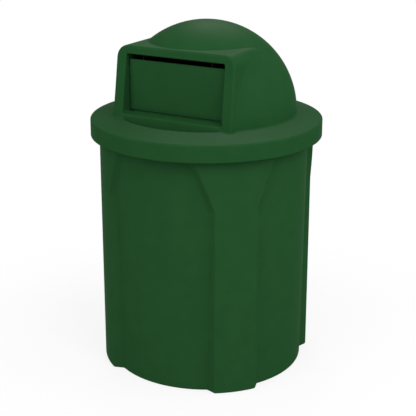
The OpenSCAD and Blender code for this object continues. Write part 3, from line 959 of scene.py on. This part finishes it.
def floor_rows():
    """Rows from the inner wall round the floor's edge to the middle, in the plan of the foot."""
    rows = []
    for a in np.linspace(0, math.pi / 2, 6):
        inset = TUB_WALL + FLOOR_EDGE * (1 - math.cos(a))
        rows.append((plan(FOOT_PLAN_Z, inset), FLOOR_T + FLOOR_EDGE * (1 - math.sin(a))))
    for share in (0.95, 0.6, 0.3, 0.0):
        rows.append((plan(FOOT_PLAN_Z, TUB_WALL + FLOOR_EDGE) * share, FLOOR_T))
    return rows


print("foot and floor have", len(foot_rows()), "and", len(floor_rows()), "rows")


# %% Rows of the panels' ends and the rim
def panel_end(inset, way):
    """The rounded step by which a panel ends under the lid."""
    z_end = PANEL_END_Z - inset
    depth = RIB_R - PANEL_TOP_R
    steps = []
    for a in np.linspace(0, math.pi / 2, 6):
        out = END_HOLLOW * (1 - math.cos(a))
        steps.append((out, z_end - END_HOLLOW + END_HOLLOW * math.sin(a)))
    for a in np.linspace(0, math.pi / 2, 6):
        out = depth - END_RIDGE + END_RIDGE * math.sin(a)
        steps.append((out, z_end + END_RIDGE - END_RIDGE * math.cos(a)))
    rows = []
    for out, z in steps:
        shape = plan(min(z, z_end), inset)
        share = min(max(out / depth, 0), 1)
        rows.append((shape * (1 - share) + on_circle(shape, RIB_R - inset) * share, z))
    return rows[::way]


def rim_outside():
    """Radius and height along the web, the hanging lip, the bead and the liner's ledge."""
    web_z, lip_in, throat_r = LEDGE_Z - TUB_WALL, BEAD_R - LIP_T, RIB_R - TUB_WALL
    corners = [
        (RIB_R, RIM_FOOT_Z, 0), (RIB_R, web_z, 3), (lip_in, web_z, 2.5), (lip_in, BEAD_FOOT_Z, 2.3),
        (BEAD_R, BEAD_FOOT_Z, 2.3), (BEAD_R, TUB_H, 3.5), (BEAD_IN_R, TUB_H, 2),
        (BEAD_IN_R, LEDGE_Z, 1), (throat_r, LEDGE_Z, 1.5), (throat_r, THROAT_Z, 0),
    ]
    return round_path(corners)[:-1]


# first height, last height and number of rows, which lie closer where the flanks start to lean
ROWS_OUTSIDE = ((12, 498, 16), (504, 532, 8), (540, 650, 11))
ROWS_INSIDE = ((640, 540, 8), (532, 504, 8), (480, 20, 10))


def tub_rows():
    """Each row as points in X and Y, and its height."""
    rows = foot_rows()
    for first, last, count in ROWS_OUTSIDE:
        rows += wall_rows(first, last, count, 0)
    rows += panel_end(0, 1)
    rows += [(on_circle(plan(PANEL_END_Z, 0), r), z) for r, z in rim_outside()]
    inner = on_circle(plan(PANEL_END_Z - TUB_WALL, TUB_WALL), RIB_R - TUB_WALL)
    rows += [(inner, THROAT_Z), (inner, THROAT_FOOT_Z)]
    rows += panel_end(TUB_WALL, -1)
    for first, last, count in ROWS_INSIDE:
        rows += wall_rows(first, last, count, TUB_WALL)
    return rows + floor_rows()


print("the whole quarter has", len(tub_rows()), "rows")


# %% Lay the quarter
def lay_quarter():
    """The quarter's grid: half a plan and its mirror, for each row."""
    rings = []
    for half, z in tub_rows():
        swapped = half[::-1, ::-1][1:]
        ring = np.concatenate([half, swapped])
        rings.append(np.column_stack([ring, np.full(len(ring), z)]))
    points = np.array(rings)
    rows, columns = points.shape[:2]
    i, j = np.meshgrid(np.arange(rows - 1), np.arange(columns - 1), indexing="ij")
    a = (i * columns + j).ravel()
    quads = np.stack([a, a + columns, a + columns + 1, a + 1], 1)
    return mesh_from("tub_quarter", points.reshape(-1, 3), quads)


tub_body = place_object("tub_body", lay_quarter(), tub_green)
print("the tub's quarter has", len(tub_body.data.polygons), "faces")

# %% [markdown]
# ### Repeating the quarter with Geometry Nodes
# The tree puts the quarter on a few points at the axis, each turned by an equal share of a full
# turn, realizes the copies and welds their edges. The four holes that let rainwater out of the
# floor are cylinders on a circle, cut away in the same tree. Every size is a named input, so the
# same tree would make a bin with six ribs. Four copies joined by hand would look the same, and
# would all have to be made again after each change of the quarter.


# %% Helpers for Geometry Nodes
def new_tree(name, sizes):
    """A geometry tree with geometry in and out and one named input for each size."""
    tree = bpy.data.node_groups.new(name, "GeometryNodeTree")
    tree.interface.new_socket("Geometry", in_out="INPUT", socket_type="NodeSocketGeometry")
    for label, kind in sizes:
        tree.interface.new_socket(label, in_out="INPUT", socket_type="NodeSocket" + kind)
    tree.interface.new_socket("Geometry", in_out="OUTPUT", socket_type="NodeSocketGeometry")
    return tree, add(tree, "NodeGroupInput").outputs


def end_tree(tree, geometry, material_socket):
    """Realizes the copies, sets the material and gives the result."""
    real = add(tree, "GeometryNodeRealizeInstances", {"Geometry": geometry})
    coat = add(
        tree,
        "GeometryNodeSetMaterial",
        {"Geometry": real.outputs["Geometry"], "Material": material_socket},
    )
    add(tree, "NodeGroupOutput", {"Geometry": coat.outputs["Geometry"]})


def grow(thing, tree, values):
    """Runs a tree on an object, with its inputs set by name, and keeps the plain mesh."""
    modifier = thing.modifiers.new(tree.name, "NODES")
    modifier.node_group = tree
    for item in tree.interface.items_tree:
        if item.item_type == "SOCKET" and item.in_out == "INPUT" and item.name in values:
            modifier[item.identifier] = values[item.name]
    return baked(thing)


print("helpers for geometry trees are ready")


# %% Tree that repeats the quarter and drains the floor
def turns_tree():
    """Copies round the axis, welded, with drain holes."""
    tree, size = new_tree(
        "round the axis",
        [
            ("Count", "Int"), ("Weld", "Float"), ("Hole circle", "Float"),
            ("Hole diameter", "Float"), ("Floor", "Float"), ("Material", "Material"),
        ],
    )
    share = add(tree, "ShaderNodeMath", {1: size["Count"]}, {0: math.tau}, operation="DIVIDE")
    index = add(tree, "GeometryNodeInputIndex")
    angle = add(
        tree, "ShaderNodeMath", {0: index.outputs[0], 1: share.outputs[0]}, operation="MULTIPLY"
    )
    turn = add(tree, "ShaderNodeCombineXYZ", {"Z": angle.outputs[0]})
    points = add(tree, "GeometryNodePoints", {"Count": size["Count"]})
    copies = add(
        tree,
        "GeometryNodeInstanceOnPoints",
        {"Points": points.outputs[0], "Instance": size["Geometry"], "Rotation": turn.outputs[0]},
    )
    whole = add(tree, "GeometryNodeRealizeInstances", {"Geometry": copies.outputs[0]})
    welded = add(
        tree,
        "GeometryNodeMergeByDistance",
        {"Geometry": whole.outputs[0], "Distance": size["Weld"]},
    )
    radius = add(tree, "ShaderNodeMath", {0: size["Hole diameter"]}, {1: 0.5}, operation="MULTIPLY")
    deep = add(tree, "ShaderNodeMath", {0: size["Floor"]}, {1: 4.0}, operation="MULTIPLY")
    drill = add(
        tree,
        "GeometryNodeMeshCylinder",
        {"Radius": radius.outputs[0], "Depth": deep.outputs[0]},
        {"Vertices": 32},
    )
    out = add(tree, "ShaderNodeCombineXYZ", {"X": size["Hole circle"]})
    moved = add(
        tree, "GeometryNodeTransform", {"Geometry": drill.outputs[0], "Translation": out.outputs[0]}
    )
    eighth = add(tree, "ShaderNodeMath", {0: share.outputs[0]}, {1: 0.5}, operation="MULTIPLY")
    beside = add(
        tree, "ShaderNodeMath", {0: angle.outputs[0], 1: eighth.outputs[0]}, operation="ADD"
    )
    drill_turn = add(tree, "ShaderNodeCombineXYZ", {"Z": beside.outputs[0]})
    drills = add(
        tree,
        "GeometryNodeInstanceOnPoints",
        {
            "Points": points.outputs[0],
            "Instance": moved.outputs[0],
            "Rotation": drill_turn.outputs[0],
        },
    )
    real_drills = add(tree, "GeometryNodeRealizeInstances", {"Geometry": drills.outputs[0]})
    cut = add(tree, "GeometryNodeMeshBoolean", operation="DIFFERENCE")
    tree.links.new(welded.outputs[0], cut.inputs["Mesh 1"])
    tree.links.new(real_drills.outputs[0], cut.inputs["Mesh 2"])
    end_tree(tree, cut.outputs["Mesh"], size["Material"])
    return tree


# %% Repeat the quarter
HOLE_CIRCLE, HOLE_D, WELD = 200.0, 10.0, 0.02
tub_sizes = {
    "Count": RIB_COUNT,
    "Weld": WELD * MM,
    "Hole circle": HOLE_CIRCLE * MM,
    "Hole diameter": HOLE_D * MM,
    "Floor": FLOOR_T * MM,
    "Material": tub_green,
}
grow(tub_body, turns_tree(), tub_sizes)
print("the whole tub has", triangles(tub_body), "triangles")

# %% Close and shade a turned or repeated piece
DOUBLES, SLIVERS = 0.01, 0.005  # millimetres


def finish_skin(thing, crease=50.0):
    """Welds doubles, turns faces outwards, and shades big faces flat up to their fillets."""
    work = bmesh.new()
    work.from_mesh(thing.data)
    bmesh.ops.remove_doubles(work, verts=work.verts, dist=DOUBLES * MM)
    bmesh.ops.dissolve_degenerate(work, edges=work.edges, dist=SLIVERS * MM)
    bmesh.ops.recalc_face_normals(work, faces=work.faces)
    work.to_mesh(thing.data)
    work.free()
    thing.data.shade_smooth()
    thing.data.set_sharp_from_angle(angle=math.radians(crease))
    even = thing.modifiers.new("even", "WEIGHTED_NORMAL")
    even.keep_sharp = True
    baked(thing)
    print(thing.name, "is closed and has", triangles(thing), "triangles")


finish_skin(tub_body)

# %% [markdown]
# ## The liner
# Inside hangs a rigid black liner, a plain turned pail with a flange that lies on the tub's ledge
# and two slots to lift it by. Its profile is drawn as radius and height, its corners are rounded,
# and the profile is spun. The Screw modifier would spin it as well, but with the profile in
# numbers, wall and flange follow from the sizes. The slots are cut with a long rounded block.

# %% Turned pieces
TURNED_STEPS = 96


def turned(name, corners, material):
    """A piece spun from corners given as radius, height and corner radius."""
    path = round_path(corners)
    steps = TURNED_STEPS
    angles = np.linspace(0, math.tau, steps, endpoint=False)
    points = np.array([[(r * math.cos(a), r * math.sin(a), z) for a in angles] for r, z in path])
    i, j = np.meshgrid(np.arange(len(path) - 1), np.arange(steps), indexing="ij")
    across = (j + 1) % steps
    quads = [i * steps + j, i * steps + across, (i + 1) * steps + across, (i + 1) * steps + j]
    mesh = mesh_from(name, points.reshape(-1, 3), np.stack(quads, -1).reshape(-1, 4))
    return place_object(name, mesh, material)


# %% Spin the liner
LINER_FOOT_R, LINER_TOP_R, LINER_WALL, LINER_Z = 250.0, 262.0, 3.5, 16.0
FLANGE_Z, FLANGE_R, FLOOR_RING_R = 697.3, 301.0, 120.0
liner_outside = [
    (0, LINER_Z, 0), (FLOOR_RING_R, LINER_Z, 0), (LINER_FOOT_R, LINER_Z, 10),
    (LINER_TOP_R, FLANGE_Z, 4), (FLANGE_R, FLANGE_Z, 1.6),
]
liner_inside = [
    (FLANGE_R, FLANGE_Z + LINER_WALL, 1.6), (LINER_TOP_R - LINER_WALL, FLANGE_Z + LINER_WALL, 4),
    (LINER_FOOT_R - LINER_WALL, LINER_Z + LINER_WALL, 8), (FLOOR_RING_R, LINER_Z + LINER_WALL, 0),
    (0, LINER_Z + LINER_WALL, 0),
]
liner_pail = turned("liner_pail", liner_outside + liner_inside, liner_black)
print("spun", liner_pail.name, "with", triangles(liner_pail), "triangles")

# %% Hand holes
SLOT_L, SLOT_H, SLOT_Z, CUTTER_HALF, LINER_CREASE = 110.0, 34.0, 645.0, 300.0, 35.0


def slot_cutter(length, height, z):
    """A block with round ends that crosses the liner along X."""
    half, r = (length - height) / 2, height / 2
    angles = np.linspace(-math.pi / 2, math.pi / 2, 17)
    bow = [(half + r * math.cos(a), r * math.sin(a)) for a in angles]
    outline = bow + [(-across, -up) for across, up in bow]
    points = [(x, y, z + h) for x in (-CUTTER_HALF, CUTTER_HALF) for y, h in outline]
    n = len(outline)
    faces = [list(range(n))[::-1], list(range(n, 2 * n))]
    faces += [(k, (k + 1) % n, n + (k + 1) % n, n + k) for k in range(n)]
    return place_object("slot_cutter", mesh_from("slot_cutter", points, faces))


cutter = slot_cutter(SLOT_L, SLOT_H, SLOT_Z)
holes = liner_pail.modifiers.new("hand holes", "BOOLEAN")
holes.operation, holes.solver, holes.object = "DIFFERENCE", "EXACT", cutter
baked(liner_pail)
bpy.data.objects.remove(cutter)
finish_skin(liner_pail, LINER_CREASE)

# %% [markdown]
# ## The return springs
# Two torsion springs sit on the rod. Each is one wire: a leg that stands behind the mouth's header,
# nine turns, and a leg that lies on the back of the door. The wire's path is worked out in a few
# lines, and a tree sweeps a circle along it. A curve with a round bevel would look the same, but a
# tree keeps the wire's size as an input. A spring joins two bodies, so its wire is cut at the
# coil's end: coil and first leg stay with the lid, and the second leg goes with the door. That leg
# brings a quarter turn of its own, hidden in the coil at rest, which shows as the door swings in.

# %% Sizes of the springs
WIRE_R, COIL_R, COIL_X, PITCH, TURNS = 1.1, 5.8, 104.0, 2.5, 9
FIXED_LEG_Z, MOVING_LEG_Z, LEG_OFF = 896.0, 805.0, 2.0
FOLLOW = 95.0  # degrees of coil that the moving leg brings along, a little over the door's swing
COIL_STEP = 10.0  # degrees from point to point
THINNER = 0.03  # keeps the moving leg's skin inside the coil's while both lie in one place
print("each coil is", PITCH * TURNS, "mm long on a rod of 8 mm")


# %% Paths of the springs
def coil_points(first, last, side):
    """Points of the coil between two angles in degrees from its start."""
    steps = max(2, int((last - first) / COIL_STEP))
    points = []
    for a in np.linspace(first, last, steps + 1):
        turn = math.radians(180 + a)
        y, z = HINGE_Y + COIL_R * math.cos(turn), HINGE_Z + COIL_R * math.sin(turn)
        points.append((side * (COIL_X + PITCH * a / 360), y, z))
    return points


def spring_paths(side):
    """The wire that stays with the lid and the wire that goes with the door."""
    last = 360 * TURNS
    front = HINGE_Y - COIL_R
    standing = [(side * COIL_X, front, z) for z in np.linspace(FIXED_LEG_Z, HINGE_Z + LEG_OFF, 5)]
    lying_x = side * (COIL_X + PITCH * TURNS)
    lying = [(lying_x, front, z) for z in np.linspace(HINGE_Z - LEG_OFF, MOVING_LEG_Z, 6)]
    return standing + coil_points(0, last, side), coil_points(last - FOLLOW, last, side) + lying


print("a coil's path has", len(spring_paths(1)[0]), "points")


# %% Tree that draws wire along a path
def wire_tree():
    """Sweeps a round wire of a given radius along the mesh edges it is given."""
    tree, size = new_tree("wire along a path", [("Wire radius", "Float"), ("Material", "Material")])
    path = add(tree, "GeometryNodeMeshToCurve", {"Mesh": size["Geometry"]})
    ring = add(
        tree,
        "GeometryNodeCurvePrimitiveCircle",
        {"Radius": size["Wire radius"]},
        {"Resolution": 10},
    )
    wire = add(
        tree,
        "GeometryNodeCurveToMesh",
        {"Curve": path.outputs[0], "Profile Curve": ring.outputs[0]},
        {"Fill Caps": True},
    )
    end_tree(tree, wire.outputs[0], size["Material"])
    return tree


wire_drawing = wire_tree()
print("made the tree", wire_drawing.name)


# %% Draw the springs
def draw_wire(name, path, radius):
    """A piece of wire along points in millimetres."""
    mesh = bpy.data.meshes.new(name)
    links = [(i, i + 1) for i in range(len(path) - 1)]
    mesh.from_pydata([[c * MM for c in p] for p in path], links, [])
    thing = place_object(name, mesh)
    grow(thing, wire_drawing, {"Wire radius": radius * MM, "Material": coated_wire})
    finish_skin(thing)
    return thing


springs = {}
for label, side in (("left", -1), ("right", 1)):
    with_lid, with_door = spring_paths(side)
    springs[label] = (
        draw_wire(f"return_spring_{label}_coil", with_lid, WIRE_R),
        draw_wire(f"return_spring_{label}_leg", with_door, WIRE_R - THINNER),
    )

# %% [markdown]
# ## Pieces kept from the solids
# The rod, its bushes, the push nuts and the rubber stops are already the right shape, so they keep
# their solids and only get a finish. They could be drawn again with finer edges, but they lie
# inside, where that would not show. A material goes into the object's own slot.

# %% Finish the kept pieces
KEPT_FINISHES = {
    "hinge_rod": rod_steel,
    "bush_left": acetal,
    "bush_right": acetal,
    "push_nut_left": rod_steel,
    "push_nut_right": rod_steel,
    "door_bumper_left": rubber,
    "door_bumper_right": rubber,
}
for node, material in KEPT_FINISHES.items():
    kept = frame["nodes"][node].data.materials
    kept.clear()
    kept.append(material)
    print(node, "is", material.name)

# %% [markdown]
# ## Which body carries each piece
# The lid lifts off the tub and the door swings in the lid, so each new piece is listed with the
# body it moves with, the solid it stands for, and a finish of the record, which nothing here reads.

# %% Ride and replace
for thing, body, node, finish in [
    (tub_body, "tub", "tub", "tub_polyethylene"),
    (liner_pail, "liner", "liner", "liner_polyethylene"),
    (lid_shell, "lid", "lid", "lid_polyethylene"),
    (door_panel, "door", "door", "door_polyethylene"),
    (springs["left"][0], "lid", "return_spring_left", "coated_spring_wire"),
    (springs["left"][1], "door", "return_spring_left", "coated_spring_wire"),
    (springs["right"][0], "lid", "return_spring_right", "coated_spring_wire"),
    (springs["right"][1], "door", "return_spring_right", "coated_spring_wire"),
]:
    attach(thing, body)
    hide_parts(node)
    print(thing.name, "rides on", body)

# %% [markdown]
# ## Floor and world
# The photograph is a catalogue picture: the bin stands on white, in soft light from all round. The
# floor keeps the bin's faint shadow near it, and farther out it turns into the same plain white as
# the backdrop. It throws less light back up than it shows, so that what faces down stays dark. A
# floor that catches only the shadow would do too, but the white one also gives the bin its bounce.

# %% Floor and world
SEEN_FLOOR, BOUNCE_FLOOR = "#f4f4f4", "#bcbcbc"  # what the eye sees, and what throws light back up
SKY_LIGHT = 0.6  # what the white studio gives as light, while it is seen as plain white
WHITE_NEAR = 0.8  # share of plain white in the floor beside the bin, which leaves a faint shadow


def sees_background(tree):
    """One for the camera's rays and for mirrored and refracted ones, which see the white studio."""
    rays = add(tree, "ShaderNodeLightPath").outputs
    gloss = add(
        tree,
        "ShaderNodeMath",
        {0: rays["Is Glossy Ray"], 1: rays["Is Transmission Ray"]},
        operation="MAXIMUM",
    )
    seen = {0: rays["Is Camera Ray"], 1: gloss.outputs[0]}
    return add(tree, "ShaderNodeMath", seen, operation="MAXIMUM").outputs[0]


NEAR, FAR = 0.45, 1.1  # metres from the axis between which the shadow's floor turns plain white


def pale_floor():
    """White floor that keeps a faint shadow near the bin and runs into the white backdrop."""
    material, tree = new_material("pale studio floor")
    place = add(tree, "ShaderNodeTexCoord").outputs["Object"]
    away = add(tree, "ShaderNodeVectorMath", {0: place}, operation="LENGTH")
    far = add(
        tree,
        "ShaderNodeMapRange",
        {"Value": away.outputs["Value"]},
        {"From Min": NEAR, "From Max": FAR, "To Min": WHITE_NEAR, "To Max": 1.0},
        interpolation_type="SMOOTHSTEP",
    )
    seen = add(
        tree,
        "ShaderNodeMath",
        {0: sees_background(tree), 1: far.outputs["Result"]},
        operation="MULTIPLY",
    )
    paint = add(
        tree,
        "ShaderNodeMix",
        {"Factor": add(tree, "ShaderNodeLightPath").outputs["Is Diffuse Ray"]},
        {MIX_A: linear(SEEN_FLOOR), MIX_B: linear(BOUNCE_FLOOR)},
        data_type="RGBA",
    )
    matt = add(tree, "ShaderNodeBsdfDiffuse", {"Color": paint.outputs[MIX_RESULT]})
    white = add(tree, "ShaderNodeEmission", inputs={"Color": (1, 1, 1, 1), "Strength": 1.0})
    mix = add(
        tree,
        "ShaderNodeMixShader",
        {"Fac": seen.outputs[0], 1: matt.outputs[0], 2: white.outputs[0]},
    )
    add(tree, "ShaderNodeOutputMaterial", {"Surface": mix.outputs[0]})
    return material


# %% Lay the floor
FLOOR_HALF = 6000.0
floor_corners = [(-1, -1), (1, -1), (1, 1), (-1, 1)]
floor_points = [(FLOOR_HALF * x, FLOOR_HALF * y, 0) for x, y in floor_corners]
floor = place_object("floor", mesh_from("floor", floor_points, [(0, 1, 2, 3)]), pale_floor())
print("the floor is", 2 * FLOOR_HALF * MM, "m wide")

# %% White world
scene = bpy.context.scene
world = bpy.data.worlds.new("white studio")
scene.world = world
world.use_nodes = True
world_tree = world.node_tree
world_tree.nodes.clear()
studio_white = add(
    world_tree,
    "ShaderNodeMath",
    {0: sees_background(world_tree)},
    {1: SKY_LIGHT},
    operation="MAXIMUM",
)
studio = add(
    world_tree,
    "ShaderNodeBackground",
    {"Strength": studio_white.outputs[0]},
    {"Color": (1, 1, 1, 1)},
)
add(world_tree, "ShaderNodeOutputWorld", {"Surface": studio.outputs[0]})
print("the world lights the bin at", SKY_LIGHT, "and is seen as white")

# %% [markdown]
# ## Lamps
# Seven large soft lamps add to the white world, a little more from above and from the right, at a
# level at which the colours come out as they are written. They are kept out of the gloss, because
# the photograph shows no highlight from its own lights on the walls. What it does show is a pale
# sheen on top of brim, hood and dome, from a light behind the bin. One more lamp makes it: that
# lamp shows only in the gloss, throws no shadow, and is linked to the three green pieces alone, so
# that the black springs inside stay dark. One bright rim light for all would be simpler, but would
# also light the dome's back and the inside of the mouth.

# %% Soft lamps
LAMP_SIZE, LAMP_AWAY, AIM_Z = 2.0, 4.5, 0.6  # metres


def soft_lamp(name, bearing, height, watts):
    """A square lamp that stands at a bearing to the right of the door and a height, in degrees."""
    data = bpy.data.lights.new(name, "AREA")
    data.shape, data.size, data.energy = "SQUARE", LAMP_SIZE, watts
    lamp = bpy.data.objects.new(name, data)
    scene.collection.objects.link(lamp)
    a, h = math.radians(bearing), math.radians(height)
    way = Vector((math.sin(a) * math.cos(h), -math.cos(a) * math.cos(h), math.sin(h)))
    lamp.location = Vector((0, 0, AIM_Z)) + way * LAMP_AWAY
    lamp.rotation_euler = way.to_track_quat("Z", "Y").to_euler()
    lamp.visible_camera = False
    return lamp


SOFT_LAMPS = [  # name, bearing, height, watts
    ("key box on the right", 60, 35, 54),
    ("side box on the right", 110, 35, 33),
    ("low box on the right", 90, 8, 24),
    ("box over the camera", 30, 60, 27),
    ("fill from the left", -10, 35, 34),
    ("low fill from the left", -30, 8, 25),
    ("box behind on the left", 215, 30, 26),
]
for name, bearing, height, watts in SOFT_LAMPS:
    soft_lamp(name, bearing, height, watts).visible_glossy = False
print(len(SOFT_LAMPS), "soft lamps give", sum(lamp[3] for lamp in SOFT_LAMPS), "watts")

# %% The lamp of the sheen
gloss_box = soft_lamp("gloss box behind", 204, 46, 680)
gloss_box.visible_diffuse = False
gloss_box.data.use_shadow = False
sheen_takers = bpy.data.collections.new("pieces that show the sheen")
for piece in (lid_shell, door_panel, tub_body):
    sheen_takers.objects.link(piece)
gloss_box.light_linking.receiver_collection = sheen_takers

# %% [markdown]
# ## Camera
# The camera was solved from the rim's ellipses in the photograph: it stands 29.5 degrees to the
# right of the door, 3.04 m from the axis and 1.45 m up, and looks down by 18.55 degrees. It could
# be tracked to the bin, but written out like this it stands just where the photographer stood.

# %% Camera
AZIMUTH, AWAY, EYE_Z, PITCH_DOWN = math.radians(29.52), 3.037, 1.454, math.radians(18.55)
FOCAL_PIXELS, PICTURE_PIXELS, SENSOR_MM, SHIFT = 1126.8, 416, 36.0, 0.0038
view_data = bpy.data.cameras.new("catalogue view")
view_data.sensor_width = SENSOR_MM
view_data.lens = FOCAL_PIXELS / PICTURE_PIXELS * SENSOR_MM
view_data.shift_x = SHIFT
camera = bpy.data.objects.new("catalogue view", view_data)
scene.collection.objects.link(camera)
camera.location = Vector((AWAY * math.sin(AZIMUTH), -AWAY * math.cos(AZIMUTH), EYE_Z))
level = math.cos(PITCH_DOWN)
forward = Vector((-math.sin(AZIMUTH) * level, math.cos(AZIMUTH) * level, -math.sin(PITCH_DOWN)))
camera.rotation_euler = forward.to_track_quat("-Z", "Y").to_euler()
scene.camera = camera
scene.view_settings.view_transform = "Standard"
print("the lens is", round(view_data.lens, 1), "mm long")
